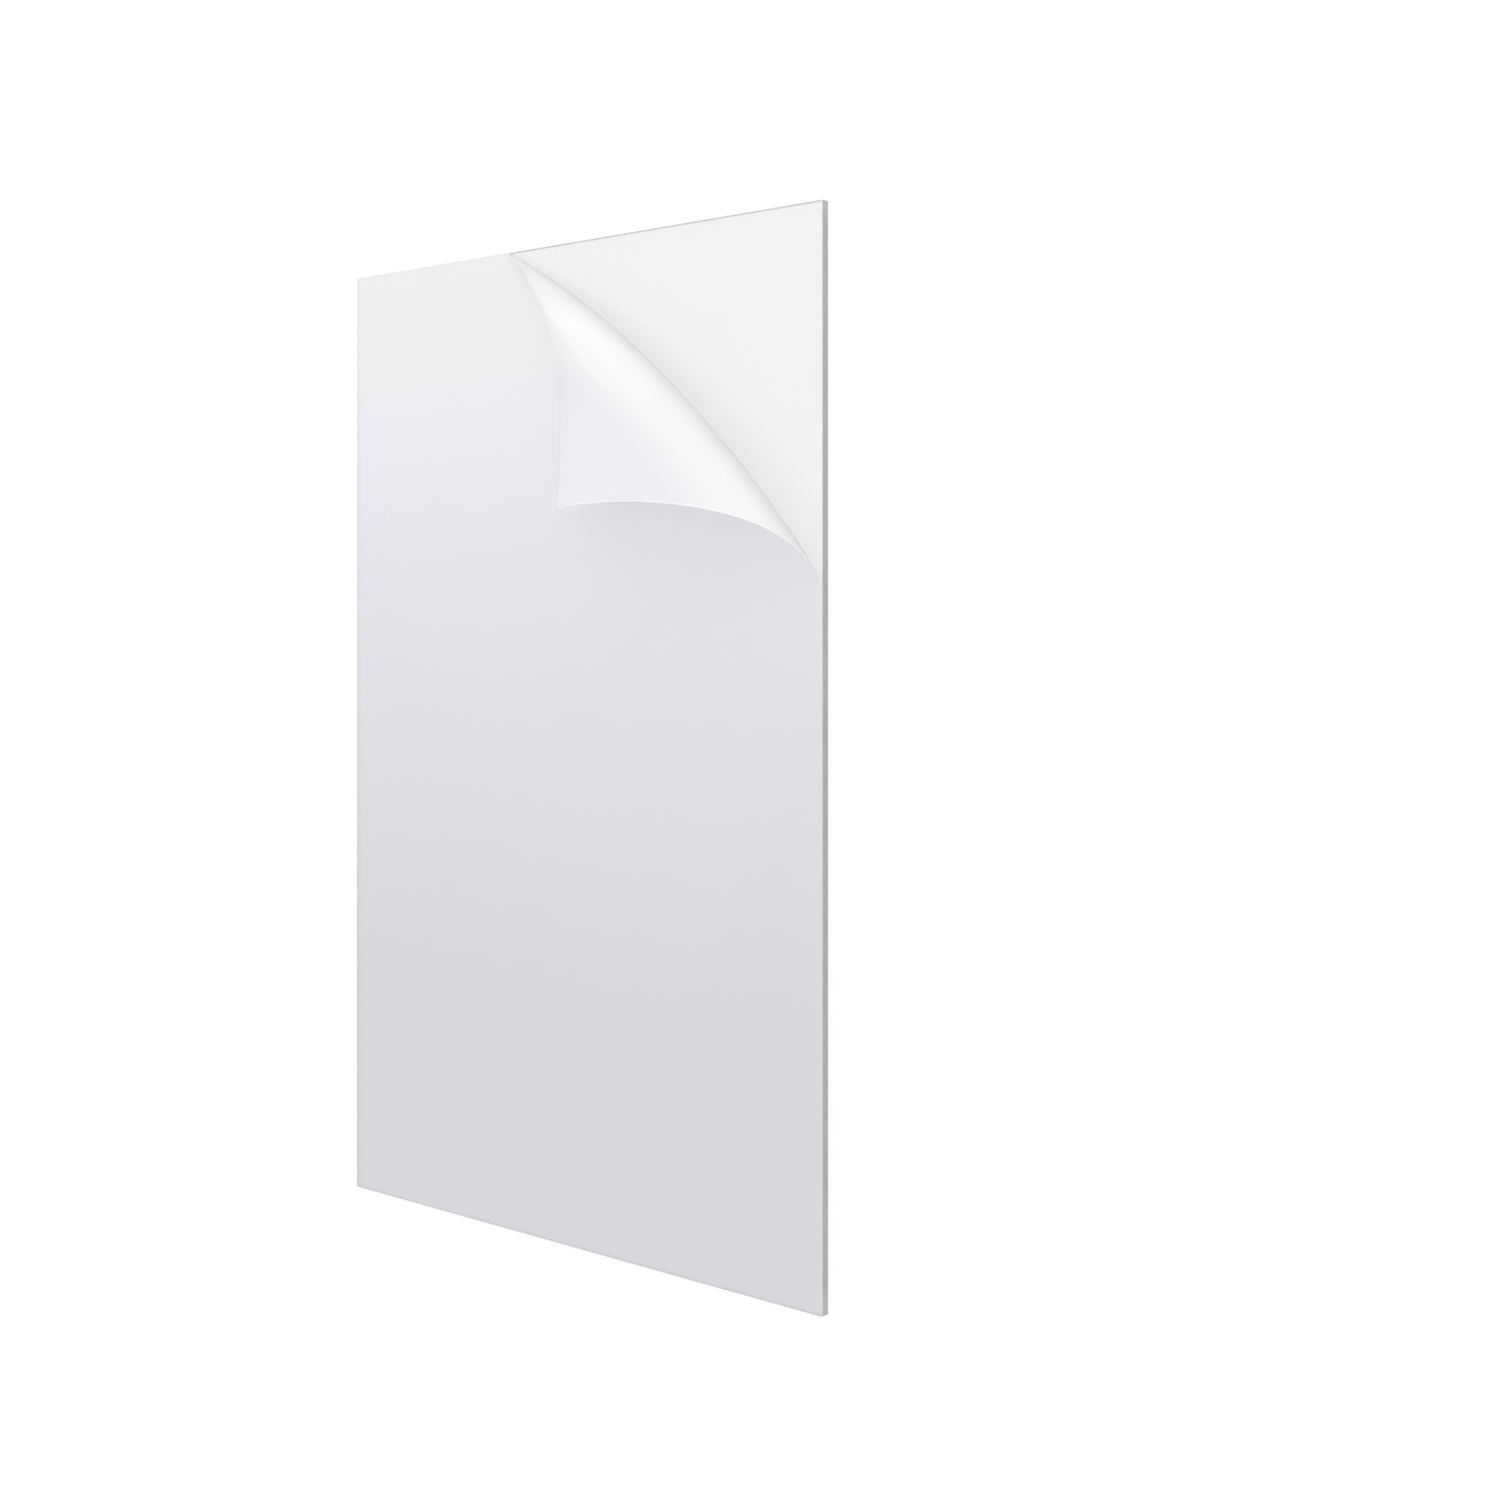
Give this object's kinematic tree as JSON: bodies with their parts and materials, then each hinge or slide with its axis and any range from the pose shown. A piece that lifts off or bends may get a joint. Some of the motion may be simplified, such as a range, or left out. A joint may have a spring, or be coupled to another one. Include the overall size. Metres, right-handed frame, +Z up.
{
  "type": "clear acrylic sheet with peeling masking film",
  "caption": "Flat sheet of clear acrylic stock, masked on its face by a thin translucent film that is peeled and curled back at a corner.",
  "frame": {"origin": "centre of the sheet's bottom face, on the surface it lies on", "axes": "+X across the width, +Y along the length, +Z up through the thickness to the masked face"},
  "size_m": [0.3048, 0.4572, 0.0403],
  "materials": {
    "acrylic": "clear, polished faces and saw-cut, lightly polished edges",
    "film": "translucent pale grey lavender polyethylene, satin"
  },
  "bodies": {
    "root": {"acrylic_sheet": "acrylic", "masking_film": "film"}
  },
  "joints": []
}
